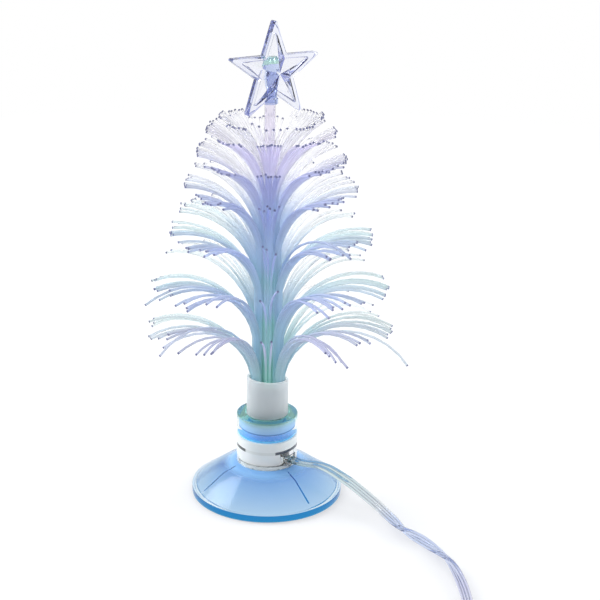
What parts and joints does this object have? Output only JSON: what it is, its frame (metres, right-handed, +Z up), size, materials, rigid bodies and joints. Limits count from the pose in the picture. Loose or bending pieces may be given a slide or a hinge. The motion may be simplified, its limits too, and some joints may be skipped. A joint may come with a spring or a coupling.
{
  "type": "fiber optic christmas tree",
  "caption": "Small table tree of curled light fibers with a clear star, a clear lamp housing on a blue suction cup, and a clear twin lead that ends in a USB plug.",
  "frame": {"origin": "middle of the suction cup rim, on the surface it stands on", "axes": "+Z up along the rod, -Y towards the viewer, +X to the side that the lead leaves on"},
  "size_m": [0.1205, 0.2141, 0.1891],
  "materials": {
    "cup_blue": "clear tinted gloss",
    "clear_acrylic": "clear gloss",
    "white_plastic": "satin",
    "filter_blue": "clear tinted gloss",
    "board_green": "satin",
    "led_resin": "clear gloss",
    "tinned_steel": "bright",
    "black_resin": "matte",
    "copper_wire": "bare metal",
    "frosted_white": "frosted",
    "fiber": "clear gloss",
    "star_clear": "clear gloss",
    "clear_lead": "clear soft gloss",
    "grip_plastic": "satin",
    "gold_contact": "bright"
  },
  "bodies": {
    "base": {"housing": "clear_acrylic", "bottom_plate": "clear_acrylic", "lower_spacer": "white_plastic", "upper_spacer": "white_plastic", "light_filter": "filter_blue", "circuit_board": "board_green", "led": "led_resin", "led_legs": "tinned_steel", "chip_resistor": "black_resin", "lead_wires": "copper_wire", "cord_bush": "clear_acrylic", "cord": "clear_lead", "cord_coil": "clear_lead", "cord_tie": "white_plastic", "plug_grip": "grip_plastic", "plug_shell": "tinned_steel", "plug_insert": "white_plastic", "plug_contacts": "gold_contact"},
    "cup": {"suction_cup": "cup_blue"},
    "tree": {"sleeve": "frosted_white", "binding_band": "white_plastic", "center_rod": "clear_acrylic", "fiber_tier_1": "fiber", "fiber_tier_2": "fiber", "fiber_tier_3": "fiber", "fiber_tier_4": "fiber", "fiber_tier_5": "fiber", "fiber_tier_6": "fiber", "fiber_tier_7": "fiber"},
    "star": {"star_front": "star_clear", "star_back": "star_clear", "star_socket": "clear_acrylic"}
  },
  "joints": [
    {"name": "cup_swivel", "type": "hinge", "parent": "base", "child": "cup", "pos_m": [0, 0, 0.0133], "axis": [0, 0, 1], "continuous": true},
    {"name": "tree_lift", "type": "slide", "parent": "base", "child": "tree", "axis": [0, 0, 1], "range_m": [0, 0.03]},
    {"name": "star_turn", "type": "hinge", "parent": "tree", "child": "star", "pos_m": [0, 0, 0.163], "axis": [0, 0, 1], "continuous": true}
  ]
}
